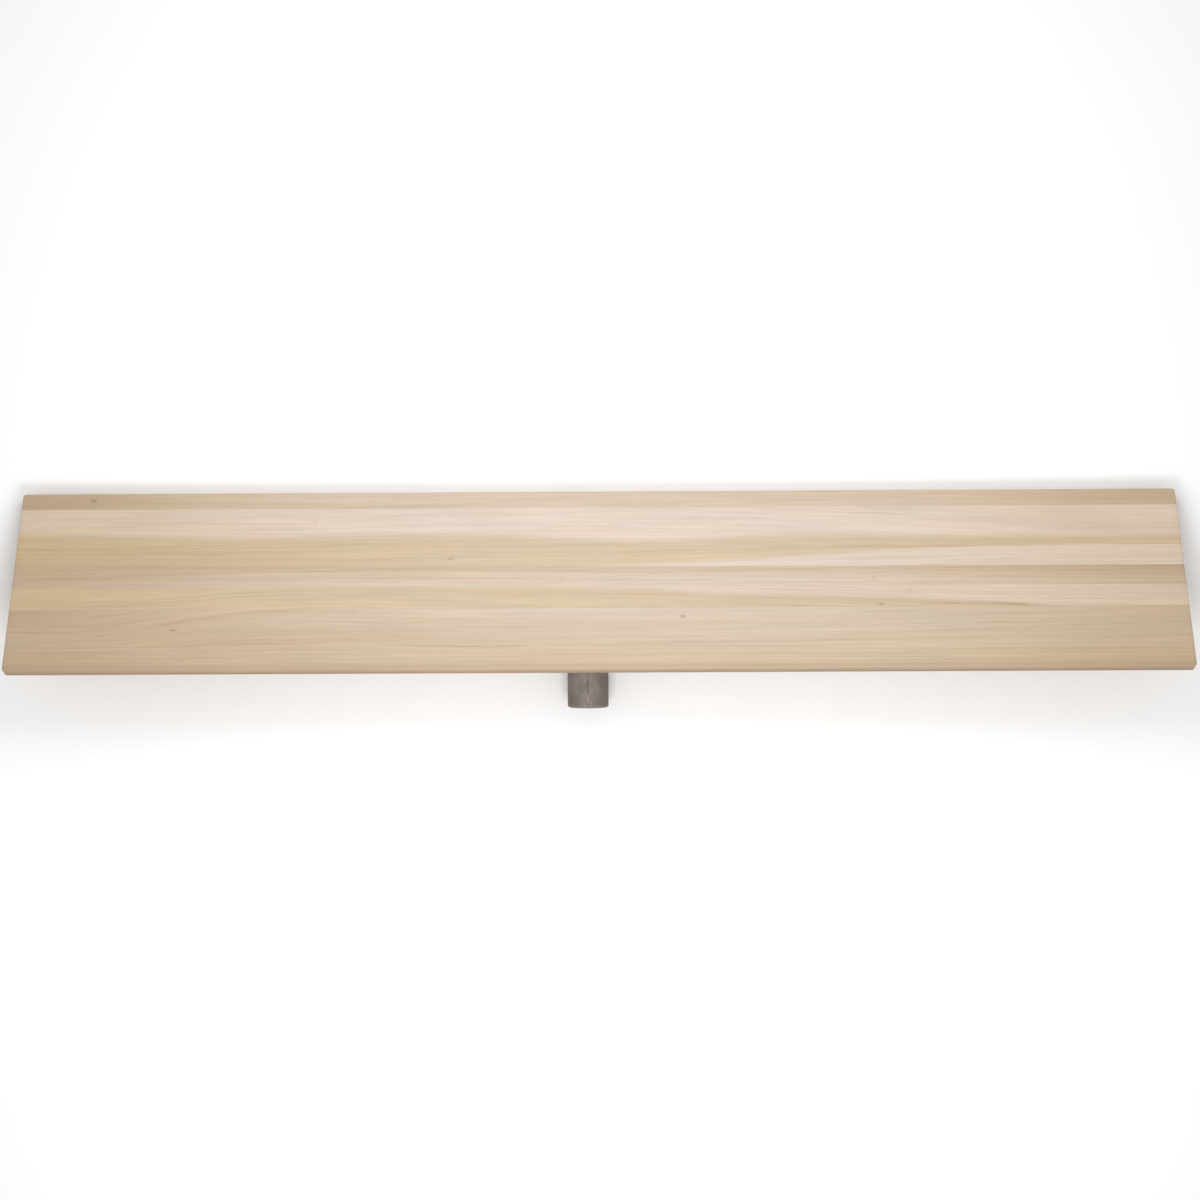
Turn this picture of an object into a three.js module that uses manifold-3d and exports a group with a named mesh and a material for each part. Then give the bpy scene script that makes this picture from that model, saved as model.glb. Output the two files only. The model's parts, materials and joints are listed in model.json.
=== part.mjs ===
// A wood bull float: a long edge-glued poplar blade with a cast, pitch-adjustable handle bracket
// screwed to its back. It lies on its back, working face up, on the far back edge of the blade
// and the rim of the handle socket. Millimetres, +Z up, origin under the middle of its box.
//
// Three nested frames are used:
//   blade frame    X along the blade, Y away from the handle side, Z out of the working face (Z = 0)
//   bracket frame  on the blade's back, Y towards the handle, Z away from the blade
//   socket frame   at the pivot, Y out of the socket's mouth, Z away from the blade
import * as THREE from "three";
import { mergeVertices } from "three/addons/utils/BufferGeometryUtils.js";
import Module from "manifold-3d";

const wasm = await Module();
wasm.setup();

// Fits
const GAP = 0.3; // between pieces that bear on each other
const HOLE_CLEARANCE = 0.4; // on the radius, around a bolt or screw

// Blade: seven staves, listed from the far edge to the handle edge
const BLADE_LENGTH = 1219.2;
const STAVE_WIDTHS = [19.4, 46.2, 23.6, 21.9, 24.4, 46.3, 21.4];
const BLADE_WIDTH = STAVE_WIDTHS.reduce((sum, width) => sum + width, 0);
const BLADE_THICKNESS = 19;
const BACK_BEVEL = 6;
const CORNER_RADIUS = 3.2;

// Bracket base
const BRACKET_OFFSET_X = -11; // from the middle of the blade
const PLATE_LENGTH = 150;
const PLATE_WIDTH = 80;
const PLATE_THICKNESS = 6;
const PLATE_CORNER_RADIUS = 13;
const PLATE_TOP = GAP + PLATE_THICKNESS;
const PAD_RADIUS = 8.5; // raised round each screw
const PAD_HEIGHT = 1.2;
const EAR_THICKNESS = 8;
const EAR_RADIUS = 15;
const EAR_FOOT_FRONT = 33; // towards the handle
const EAR_FOOT_BACK = -16;
const EAR_BOSS_RADIUS = 12.5;
const EAR_BOSS_HEIGHT = 1.2;
const RIB_THICKNESS = 6;
const RIB_REACH = 34; // from the ear along the plate
const RIB_HEIGHT = 20; // on the ear, above the plate

// Pivot, in the bracket frame
const PIVOT_Y = 10;
const PIVOT_Z = 22.5;

// Handle socket
const SOCKET_PITCH = THREE.MathUtils.degToRad(25); // from the blade's plane, at rest
const LUG_WIDTH = 20;
const LUG_RADIUS = 13;
const HEEL_REACH = 16; // behind the pivot: it meets the plate when the socket is square to the blade
const SOCKET_RADIUS = 21.6;
const SOCKET_BORE_RADIUS = 15.5;
const SOCKET_START = 20; // from the pivot, along the socket
const SOCKET_SHOULDER = 9; // length over which the closed end rounds out to the full radius
const SOCKET_MOUTH = 110; // from the pivot, along the socket
const BORE_DEPTH = 54;
const BORE_CHAMFER = 0.8;
const RIM_CHAMFER = 1.6;

// Fasteners
const BOLT_RADIUS = 6.35;
const BOLT_HEAD_FLATS = 19;
const BOLT_HEAD_HEIGHT = 8;
const BOLT_END_CHAMFER = 1.2;
const BOLT_PROTRUSION = 4; // beyond the nut
const NUT_HEIGHT = 11;
const WASHER_RADIUS = 12;
const WASHER_THICKNESS = 2;
const LOCK_WASHER_RADIUS = 10.8;
const LOCK_WASHER_THICKNESS = 2.6;
const LOCK_WASHER_SPLIT = THREE.MathUtils.degToRad(8);
const SCREW_RADIUS = 2.7;
const SCREW_IN_WOOD = 12.5;
const SCREW_POINT = 4;
const SCREW_HEAD_RADIUS = 5.2;
const SCREW_HEAD_HEIGHT = 3.4;
const SCREW_RECESS_WIDTH = 1.4;
const SCREW_RECESS_LENGTH = 5.6;
const SCREW_RECESS_DEPTH = 1.8;
const SCREW_X = [-62, -34, 34, 62];
const SCREW_Y = [-27, 27];
const PILOT_DEPTH = 14;

// Segments
const ARC_STEPS = 6;
const ROUND_SEGMENTS = 40;
const SMALL_SEGMENTS = 16;

// Finishes
const sapwood = { color: 0xe4d2bd, roughness: 0.72, metalness: 0 };
const heartwood = { color: 0xd8c3a6, roughness: 0.72, metalness: 0 };
const tanwood = { color: 0xd4bc9d, roughness: 0.72, metalness: 0 };
const castIron = { color: 0x82796f, roughness: 0.62, metalness: 0.75 };
const zincSteel = { color: 0xb4b3ad, roughness: 0.38, metalness: 0.95 };
const STAVE_FINISHES = [tanwood, sapwood, heartwood, sapwood, heartwood, sapwood, tanwood];

// --- solids -------------------------------------------------------------------------------------

function solid(geometry) {
  const bare = new THREE.BufferGeometry();
  bare.setAttribute("position", geometry.getAttribute("position"));
  bare.setIndex(geometry.index);
  const merged = mergeVertices(bare, 1e-4);
  return new wasm.Manifold(
    new wasm.Mesh({
      numProp: 3,
      vertProperties: merged.attributes.position.array,
      triVerts: new Uint32Array(merged.index.array),
    }),
  );
}

function geometryOf(manifold) {
  const mesh = manifold.getMesh();
  const geometry = new THREE.BufferGeometry();
  geometry.setAttribute("position", new THREE.BufferAttribute(mesh.vertProperties, mesh.numProp));
  geometry.setIndex(new THREE.BufferAttribute(mesh.triVerts, 1));
  geometry.computeVertexNormals();
  return geometry;
}

function joined(solids) {
  return solids.reduce((sum, next) => sum.add(next));
}

function cut(body, tools) {
  return tools.reduce((rest, tool) => rest.subtract(tool), body);
}

function piece(name, manifold, finish) {
  const mesh = new THREE.Mesh(geometryOf(manifold), new THREE.MeshStandardMaterial(finish));
  mesh.name = name;
  return mesh;
}

// --- shapes -------------------------------------------------------------------------------------

function extruded(shape, depth) {
  return new THREE.ExtrudeGeometry(shape, { depth, bevelEnabled: false, curveSegments: ARC_STEPS });
}

// A (Y, Z) outline given thickness along X, centred on X = 0.
function extrudedAcross(shape, width) {
  const upright = new THREE.Matrix4().makeBasis(
    new THREE.Vector3(0, 1, 0),
    new THREE.Vector3(0, 0, 1),
    new THREE.Vector3(1, 0, 0),
  );
  return extruded(shape, width).translate(0, 0, -width / 2).applyMatrix4(upright);
}

// A (radius, height) profile turned about Z.
function turned(profile, segments) {
  const points = profile.map(([radius, height]) => new THREE.Vector2(radius, height));
  return new THREE.LatheGeometry(points, segments).rotateX(Math.PI / 2);
}

function rod(radius, from, to, segments = SMALL_SEGMENTS) {
  return turned([[0, from], [radius, from], [radius, to], [0, to]], segments);
}

// Turns a piece made along Z so that it runs along X.
function alongX(geometry) {
  return geometry.rotateY(Math.PI / 2);
}

function roundedRectangle(length, width, radius) {
  const x = length / 2;
  const y = width / 2;
  const shape = new THREE.Shape();
  shape.moveTo(-x + radius, -y);
  shape.absarc(x - radius, -y + radius, radius, -Math.PI / 2, 0);
  shape.absarc(x - radius, y - radius, radius, 0, Math.PI / 2);
  shape.absarc(-x + radius, y - radius, radius, Math.PI / 2, Math.PI);
  shape.absarc(-x + radius, -y + radius, radius, Math.PI, Math.PI * 1.5);
  return shape;
}

function polygon(points) {
  return new THREE.Shape(points.map(([x, y]) => new THREE.Vector2(x, y)));
}

// --- blade --------------------------------------------------------------------------------------

// The whole blade in one piece: a rounded plank whose two long back edges are bevelled.
function bladeBlank() {
  const half = BLADE_WIDTH / 2;
  const plan = extruded(roundedRectangle(BLADE_LENGTH, BLADE_WIDTH, CORNER_RADIUS), BLADE_THICKNESS);
  plan.translate(0, 0, -BLADE_THICKNESS);
  const section = polygon([
    [-half - 1, 1],
    [-half - 1, -BLADE_THICKNESS + BACK_BEVEL + 1],
    [-half + BACK_BEVEL, -BLADE_THICKNESS],
    [half - BACK_BEVEL, -BLADE_THICKNESS],
    [half + 1, -BLADE_THICKNESS + BACK_BEVEL + 1],
    [half + 1, 1],
  ]);
  return solid(plan).intersect(solid(extrudedAcross(section, BLADE_LENGTH + 2)));
}

function pilotHoles() {
  return SCREW_X.flatMap((x) =>
    SCREW_Y.map((y) => {
      const hole = rod(SCREW_RADIUS + GAP, -1, PILOT_DEPTH);
      return solid(hole.translate(BRACKET_OFFSET_X + x, y, -BLADE_THICKNESS));
    }),
  );
}

function staves() {
  const blank = cut(bladeBlank(), pilotHoles());
  let edge = BLADE_WIDTH / 2;
  return STAVE_WIDTHS.map((width, i) => {
    const slice = new THREE.BoxGeometry(BLADE_LENGTH + 2, width - GAP, BLADE_THICKNESS * 2 + 2);
    slice.translate(0, edge - width / 2, 0);
    edge -= width;
    return piece("stave_" + (i + 1), blank.intersect(solid(slice)), STAVE_FINISHES[i]);
  });
}

// --- bracket base -------------------------------------------------------------------------------

// An ear in the (Y, Z) plane: a broad foot on the plate, rising to an eye round the pivot.
function earOutline() {
  const shape = new THREE.Shape();
  shape.moveTo(EAR_FOOT_BACK, PLATE_TOP - 1);
  shape.lineTo(EAR_FOOT_FRONT, PLATE_TOP - 1);
  shape.lineTo(EAR_FOOT_FRONT, PLATE_TOP + 1);
  shape.absarc(PIVOT_Y, PIVOT_Z, EAR_RADIUS, Math.PI * 0.12, Math.PI * 0.88);
  shape.lineTo(EAR_FOOT_BACK, PLATE_TOP + 1);
  return shape;
}

function ear(side) {
  const inner = LUG_WIDTH / 2 + GAP;
  const middle = side * (inner + EAR_THICKNESS / 2);
  const cheek = extrudedAcross(earOutline(), EAR_THICKNESS).translate(middle, 0, 0);
  const boss = alongX(rod(EAR_BOSS_RADIUS, inner + 1, earFace(), ROUND_SEGMENTS));
  if (side < 0) boss.rotateZ(Math.PI);
  return solid(cheek).add(solid(boss.translate(0, PIVOT_Y, PIVOT_Z)));
}

// Distance from the bracket's middle plane to the face that the bolt's washers bear on.
function earFace() {
  return LUG_WIDTH / 2 + GAP + EAR_THICKNESS + EAR_BOSS_HEIGHT;
}

// A triangular rib from the outside of an ear down to the plate.
function rib(side) {
  const start = LUG_WIDTH / 2 + GAP + EAR_THICKNESS - 1;
  const outline = polygon([
    [start, PLATE_TOP - 1],
    [start + RIB_REACH, PLATE_TOP - 1],
    [start + RIB_REACH, PLATE_TOP + 1],
    [start, PLATE_TOP + RIB_HEIGHT],
  ]);
  const plate = extruded(outline, RIB_THICKNESS).translate(0, 0, -RIB_THICKNESS / 2);
  plate.rotateX(Math.PI / 2);
  if (side < 0) plate.rotateZ(Math.PI);
  return solid(plate.translate(0, EAR_FOOT_BACK + RIB_THICKNESS, 0));
}

function bracketBase() {
  const outline = roundedRectangle(PLATE_LENGTH, PLATE_WIDTH, PLATE_CORNER_RADIUS);
  const plate = solid(extruded(outline, PLATE_THICKNESS).translate(0, 0, GAP));
  const pads = screwPlaces().map(([x, y]) =>
    solid(rod(PAD_RADIUS, PLATE_TOP - 1, PLATE_TOP + PAD_HEIGHT).translate(x, y, 0)),
  );
  const screwHoles = screwPlaces().map(([x, y]) =>
    solid(rod(SCREW_RADIUS + HOLE_CLEARANCE, -1, PLATE_TOP + PAD_HEIGHT + 1).translate(x, y, 0)),
  );
  const boltHole = alongX(rod(BOLT_RADIUS + HOLE_CLEARANCE, -earFace() - 1, earFace() + 1));
  const casting = joined([plate, ...pads, ear(-1), ear(1), rib(-1), rib(1)]);
  const holes = [...screwHoles, solid(boltHole.translate(0, PIVOT_Y, PIVOT_Z))];
  return piece("bracket_base", cut(casting, holes), castIron);
}

function screwPlaces() {
  return SCREW_X.flatMap((x) => SCREW_Y.map((y) => [x, y]));
}

// --- handle socket ------------------------------------------------------------------------------

// The lug in the socket's (Y, Z) plane: round towards the plate, with a square heel as its stop.
function lugOutline() {
  const shape = new THREE.Shape();
  shape.moveTo(SOCKET_START + SOCKET_SHOULDER, LUG_RADIUS);
  shape.lineTo(-HEEL_REACH, LUG_RADIUS);
  shape.lineTo(-HEEL_REACH, HEEL_REACH - LUG_RADIUS);
  shape.lineTo(-LUG_RADIUS, 0);
  shape.absarc(0, 0, LUG_RADIUS, Math.PI, Math.PI * 1.5);
  shape.lineTo(SOCKET_START + SOCKET_SHOULDER, -LUG_RADIUS);
  return shape;
}

// The closed end rounds out from the lug to the tube as a quarter of an ellipse.
function shoulderProfile() {
  const points = [];
  for (let i = 0; i <= ARC_STEPS; i += 1) {
    const angle = (i / ARC_STEPS) * (Math.PI / 2);
    const radius = SOCKET_RADIUS * (0.6 + 0.4 * Math.sin(angle));
    points.push([radius, SOCKET_START + SOCKET_SHOULDER * (1 - Math.cos(angle))]);
  }
  return points;
}

function socketTube() {
  const profile = [
    [0, SOCKET_START],
    ...shoulderProfile(),
    [SOCKET_RADIUS, SOCKET_MOUTH - RIM_CHAMFER],
    [SOCKET_RADIUS - RIM_CHAMFER, SOCKET_MOUTH],
    [SOCKET_BORE_RADIUS + BORE_CHAMFER, SOCKET_MOUTH],
    [SOCKET_BORE_RADIUS, SOCKET_MOUTH - BORE_CHAMFER],
    [SOCKET_BORE_RADIUS, SOCKET_MOUTH - BORE_DEPTH],
    [0, SOCKET_MOUTH - BORE_DEPTH],
  ];
  return turned(profile, ROUND_SEGMENTS).rotateX(-Math.PI / 2);
}

function handleSocket() {
  const lug = solid(extrudedAcross(lugOutline(), LUG_WIDTH));
  const eye = alongX(rod(BOLT_RADIUS + HOLE_CLEARANCE, -LUG_WIDTH, LUG_WIDTH));
  return piece("handle_socket", lug.add(solid(socketTube())).subtract(solid(eye)), castIron);
}

// --- fasteners ----------------------------------------------------------------------------------

// A hexagonal prism along X, on one side of the pivot, whose far corners are turned off to a cone.
function hexagon(acrossFlats, from, to, side) {
  const corner = acrossFlats / Math.sqrt(3);
  const prism = new THREE.CylinderGeometry(corner, corner, to - from, 6).rotateX(Math.PI / 2);
  const cone = turned(
    [[0, from], [corner, from], [corner, to - 1], [acrossFlats / 2 - 0.4, to], [0, to]],
    ROUND_SEGMENTS,
  );
  const shapes = [alongX(prism.translate(0, 0, (from + to) / 2)), alongX(cone)];
  if (side < 0) shapes.forEach((shape) => shape.rotateZ(Math.PI));
  return solid(shapes[0]).intersect(solid(shapes[1]));
}

function nutStart() {
  return earFace() + GAP + WASHER_THICKNESS + GAP + LOCK_WASHER_THICKNESS + GAP;
}

function pivotBolt() {
  const head = earFace() + GAP + WASHER_THICKNESS + GAP;
  const end = nutStart() + NUT_HEIGHT + BOLT_PROTRUSION;
  const shank = turned(
    [
      [0, -head - 1],
      [BOLT_RADIUS, -head - 1],
      [BOLT_RADIUS, end - BOLT_END_CHAMFER],
      [BOLT_RADIUS - BOLT_END_CHAMFER, end],
      [0, end],
    ],
    SMALL_SEGMENTS,
  );
  const headSolid = hexagon(BOLT_HEAD_FLATS, head, head + BOLT_HEAD_HEIGHT, -1);
  return piece("pivot_bolt", headSolid.add(solid(alongX(shank))), zincSteel);
}

function pivotNut() {
  const start = nutStart();
  const thread = alongX(rod(BOLT_RADIUS + GAP, start - 1, start + NUT_HEIGHT + 1));
  const nut = hexagon(BOLT_HEAD_FLATS, start, start + NUT_HEIGHT, 1).subtract(solid(thread));
  return piece("pivot_nut", nut, zincSteel);
}

function flatWasher(name, side) {
  const start = earFace() + GAP;
  const bore = BOLT_RADIUS + HOLE_CLEARANCE;
  const ring = turned(
    [
      [bore, start],
      [WASHER_RADIUS, start],
      [WASHER_RADIUS, start + WASHER_THICKNESS],
      [bore, start + WASHER_THICKNESS],
      [bore, start],
    ],
    ROUND_SEGMENTS,
  );
  alongX(ring);
  if (side < 0) ring.rotateZ(Math.PI);
  return piece(name, solid(ring), zincSteel);
}

function lockWasher() {
  const from = LOCK_WASHER_SPLIT;
  const to = Math.PI * 2 - LOCK_WASHER_SPLIT;
  const shape = new THREE.Shape();
  shape.absarc(0, 0, LOCK_WASHER_RADIUS, from, to);
  shape.absarc(0, 0, BOLT_RADIUS + HOLE_CLEARANCE, to, from, true);
  const options = { depth: LOCK_WASHER_THICKNESS, bevelEnabled: false, curveSegments: SMALL_SEGMENTS };
  const ring = new THREE.ExtrudeGeometry(shape, options);
  ring.translate(0, 0, earFace() + GAP + WASHER_THICKNESS + GAP);
  return piece("lock_washer", solid(alongX(ring)), zincSteel);
}

// A pan-head wood screw with a cross recess, pointing down into the blade.
function woodScrew(name, x, y) {
  const seat = PLATE_TOP + PAD_HEIGHT + GAP;
  const profile = [
    [0, -SCREW_IN_WOOD],
    [SCREW_RADIUS, -SCREW_IN_WOOD + SCREW_POINT],
    [SCREW_RADIUS, seat],
    [SCREW_HEAD_RADIUS, seat],
    [SCREW_HEAD_RADIUS, seat + SCREW_HEAD_HEIGHT * 0.45],
    [SCREW_HEAD_RADIUS * 0.86, seat + SCREW_HEAD_HEIGHT * 0.82],
    [SCREW_HEAD_RADIUS * 0.5, seat + SCREW_HEAD_HEIGHT],
    [0, seat + SCREW_HEAD_HEIGHT],
  ];
  const across = new THREE.BoxGeometry(SCREW_RECESS_LENGTH, SCREW_RECESS_WIDTH, SCREW_RECESS_DEPTH * 2);
  const along = new THREE.BoxGeometry(SCREW_RECESS_WIDTH, SCREW_RECESS_LENGTH, SCREW_RECESS_DEPTH * 2);
  const recess = [across, along].map((slot) => solid(slot.translate(0, 0, seat + SCREW_HEAD_HEIGHT)));
  const screw = piece(name, cut(solid(turned(profile, SMALL_SEGMENTS)), recess), zincSteel);
  screw.position.set(x, y, 0);
  return screw;
}

// --- assembly -----------------------------------------------------------------------------------

function pivotHardware() {
  const pivot = new THREE.Group();
  pivot.position.set(0, PIVOT_Y, PIVOT_Z);
  pivot.add(pivotBolt());
  pivot.add(pivotNut());
  pivot.add(flatWasher("head_washer", -1));
  pivot.add(flatWasher("nut_washer", 1));
  pivot.add(lockWasher());
  return pivot;
}

function socketOnPivot() {
  const socket = new THREE.Group();
  socket.position.set(0, PIVOT_Y, PIVOT_Z);
  socket.rotation.x = SOCKET_PITCH;
  socket.add(handleSocket());
  return socket;
}

function bracket() {
  const group = new THREE.Group();
  group.position.set(BRACKET_OFFSET_X, 0, -BLADE_THICKNESS);
  group.rotation.x = Math.PI;
  group.add(bracketBase());
  screwPlaces().forEach(([x, y], i) => group.add(woodScrew("wood_screw_" + (i + 1), x, y)));
  group.add(pivotHardware());
  group.add(socketOnPivot());
  return group;
}

// The slope of the blade when it lies on its far back edge and the socket's rim.
function restTilt() {
  const reach = SOCKET_MOUTH - RIM_CHAMFER;
  const rimY = PIVOT_Y + reach * Math.cos(SOCKET_PITCH) - SOCKET_RADIUS * Math.sin(SOCKET_PITCH);
  const rimZ = PIVOT_Z + reach * Math.sin(SOCKET_PITCH) + SOCKET_RADIUS * Math.cos(SOCKET_PITCH);
  return Math.atan2(rimZ, BLADE_WIDTH / 2 - BACK_BEVEL + rimY);
}

const bullFloat = new THREE.Group();
bullFloat.add(...staves());
bullFloat.add(bracket());
bullFloat.rotation.x = -restTilt();
const box = new THREE.Box3().setFromObject(bullFloat, true);
const middle = box.getCenter(new THREE.Vector3());
bullFloat.position.set(-middle.x, -middle.y, -box.min.z);

export default bullFloat;
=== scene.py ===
"""Looks of the wood bull float: a laminated poplar blade lying on its back, with its cast handle bracket.

Lengths are in metres. Three frames are used besides the row frame, each with its X along the blade:
the blade frame (Y away from the handle side, Z out of the working face), the bracket frame (Y towards
the handle, Z away from the blade's back) and the socket frame (at the pivot, Y out of the mouth).
"""

import json
import math

import bmesh
import bpy
from mathutils import Matrix, Vector


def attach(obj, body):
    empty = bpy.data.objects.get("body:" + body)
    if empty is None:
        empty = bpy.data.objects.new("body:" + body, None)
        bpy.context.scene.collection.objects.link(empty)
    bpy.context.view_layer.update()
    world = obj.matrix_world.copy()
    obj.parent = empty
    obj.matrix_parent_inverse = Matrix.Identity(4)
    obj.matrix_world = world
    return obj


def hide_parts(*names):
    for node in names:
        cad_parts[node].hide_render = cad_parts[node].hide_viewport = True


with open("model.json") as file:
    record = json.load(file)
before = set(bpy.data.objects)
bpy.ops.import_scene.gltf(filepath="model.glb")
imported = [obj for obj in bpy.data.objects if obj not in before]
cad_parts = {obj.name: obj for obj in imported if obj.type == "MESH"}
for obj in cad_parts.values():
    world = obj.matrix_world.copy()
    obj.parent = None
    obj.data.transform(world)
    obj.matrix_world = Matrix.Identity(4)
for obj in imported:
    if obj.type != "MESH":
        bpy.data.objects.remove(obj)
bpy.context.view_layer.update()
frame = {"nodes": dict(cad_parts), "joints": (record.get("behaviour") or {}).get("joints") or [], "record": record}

MM = 0.001

# Blade
EDGE_EASE = 1.7 * MM
GLUE_LINE = 0.35 * MM
BACK_BEVEL = 6 * MM
CORNER_RADIUS = 3.2 * MM
CROSS_CUTS = 25  # along each stave, so that its faces aren't all as long as the blade

# Bracket castings
BASE_VOXEL = 0.65 * MM
BASE_SMOOTHING = 7
SOCKET_VOXEL = BASE_VOXEL * 0.85
SOCKET_SMOOTHING = 3
PLATE_TOP = 6.3 * MM  # above the blade's back
EAR_GAP = 20.6 * MM
EAR_FOOT = (-16 * MM, 33 * MM)  # along the bracket frame's Y
EAR_FILLET = 3 * MM
HEEL_ROOM = 0.15 * MM  # more room for the heel of the socket's lug at its steepest tilt
SEAM_HEIGHT = 0.4 * MM
SEAM_WIDTH = 1.1 * MM
SEAM_START = 27 * MM  # from the pivot
UPPER_SEAM_END = 3 * MM  # short of the mouth
LOWER_SEAM_END = 40 * MM  # short of the mouth, so that it doesn't lift the socket off the floor
SOCKET_RADIUS = 21.6 * MM
BORE_RADIUS = 15.5 * MM
BORE_DEPTH = 54 * MM
BORE_THREAD_PITCH = 5 * MM
BORE_THREAD_DEPTH = 1.3 * MM

# Fasteners
BOLT_RADIUS = 6.35 * MM
BOLT_PITCH = 1.95 * MM
BOLT_THREAD_DEPTH = 1.1 * MM
BOLT_HEAD_HEIGHT = 8 * MM
BOLT_THREAD_LENGTH = 24 * MM
HEX_FLATS = 19 * MM
HEX_CORNER = HEX_FLATS / math.sqrt(3)  # from the axis
HEX_STEPS = 96  # points round a bolt or nut
SCREW_PITCH = 2.1 * MM
SCREW_RADIUS = 2.7 * MM
SCREW_THREAD_DEPTH = 0.75 * MM
SCREW_HEAD_HEIGHT = 3.4 * MM

# Light: what a white card on the blade's middle would read, so that the pale floor just reaches white
CARD_BRIGHTNESS = 1.26

ROOM_STRENGTH = 0.71
LIGHT_HEIGHT = 0.87
FLOOR_RADIUS = 45.0

# Camera
CAMERA_LENS = 62.1
CAMERA_DISTANCE = 2.14
CAMERA_TILT = math.radians(24.22)  # off the working face's normal, towards the handle
CAMERA_SWING = math.radians(0.52)
CAMERA_ROLL = math.radians(-0.28)
CAMERA_AIM = (2.4 * MM, -25.2 * MM)  # on the working face, from its middle


# --- frames -------------------------------------------------------------------------------------


def mount(name):
    return next(m for m in frame["record"]["mounts"] if m["name"] == name)


def frame_matrix(origin, y_axis, z_axis):
    x_axis = Vector(y_axis).cross(Vector(z_axis))
    columns = Matrix((x_axis, y_axis, z_axis)).transposed()
    return Matrix.Translation(origin) @ columns.to_4x4()


X_AXIS = Vector((1, 0, 0))
FACE_NORMAL = Vector(mount("working_face")["axis"]).normalized()
FACE_POINT = Vector(mount("working_face")["pos_m"])
SOCKET_AXIS = Vector(mount("socket_mouth")["axis"]).normalized()
MOUTH_POINT = Vector(mount("socket_mouth")["pos_m"])
PIVOT = Vector(frame["joints"][0]["pos_m"])
BLADE = frame_matrix(FACE_POINT, FACE_NORMAL.cross(X_AXIS), FACE_NORMAL)
SOCKET = frame_matrix(PIVOT, SOCKET_AXIS, X_AXIS.cross(SOCKET_AXIS))
SOCKET_MOUTH = (MOUTH_POINT - PIVOT).dot(SOCKET_AXIS)


def local_box(node, matrix):
    """(lowest, highest) corner of a CAD node in another frame."""
    inverse = matrix.inverted()
    points = [inverse @ v.co for v in frame["nodes"][node].data.vertices]
    low = Vector(min(p[i] for p in points) for i in range(3))
    high = Vector(max(p[i] for p in points) for i in range(3))
    return low, high


STAVES = ["stave_%d" % (i + 1) for i in range(7)]
STAVE_BOXES = [local_box(name, BLADE) for name in STAVES]
GLUE_GAP = STAVE_BOXES[0][0].y - STAVE_BOXES[1][1].y
BLADE_LENGTH = STAVE_BOXES[0][1].x - STAVE_BOXES[0][0].x
BLADE_HALF_WIDTH = STAVE_BOXES[0][1].y
BLADE_WIDTH = BLADE_HALF_WIDTH * 2
BLADE_THICKNESS = -STAVE_BOXES[0][0].z
BRACKET = BLADE @ Matrix.Translation((PIVOT.x, 0, -BLADE_THICKNESS)) @ Matrix.Rotation(math.pi, 4, "X")


# --- shader writing -----------------------------------------------------------------------------


def linear(channel):
    share = channel / 255
    return share / 12.92 if share <= 0.04045 else ((share + 0.055) / 1.055) ** 2.4


def seen(red, green, blue):
    """The surface colour that reads as this sRGB colour under the scene's light."""
    return tuple(linear(c) / CARD_BRIGHTNESS for c in (red, green, blue)) + (1.0,)


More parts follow.
